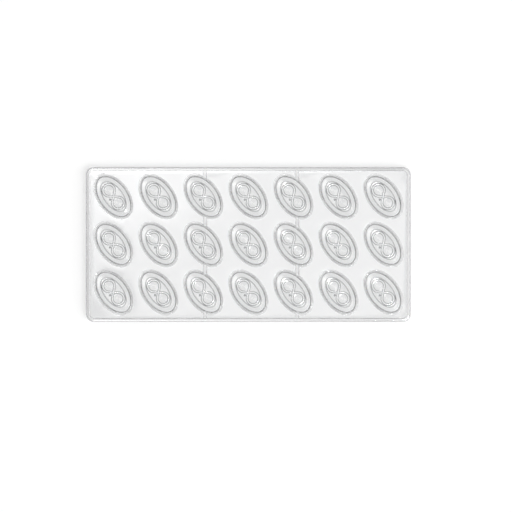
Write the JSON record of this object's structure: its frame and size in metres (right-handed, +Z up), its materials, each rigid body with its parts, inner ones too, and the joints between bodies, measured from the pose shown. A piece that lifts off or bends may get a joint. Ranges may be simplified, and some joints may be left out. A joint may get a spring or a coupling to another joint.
{
  "type": "chocolate mould",
  "caption": "Clear rigid chocolate mould: a flat plate with slanting oval praline cavities, each with a figure-of-eight relief, on a skirt.",
  "frame": {"origin": "middle of the plane that the skirt stands on", "axes": "+X along the mould's length, +Y across it, +Z up through the open mouths of the cavities"},
  "size_m": [0.275, 0.131, 0.024],
  "materials": {
    "clear_plastic": "clear, colourless polycarbonate with a high polish"
  },
  "bodies": {
    "root": {"mould": "clear_plastic"}
  },
  "joints": []
}
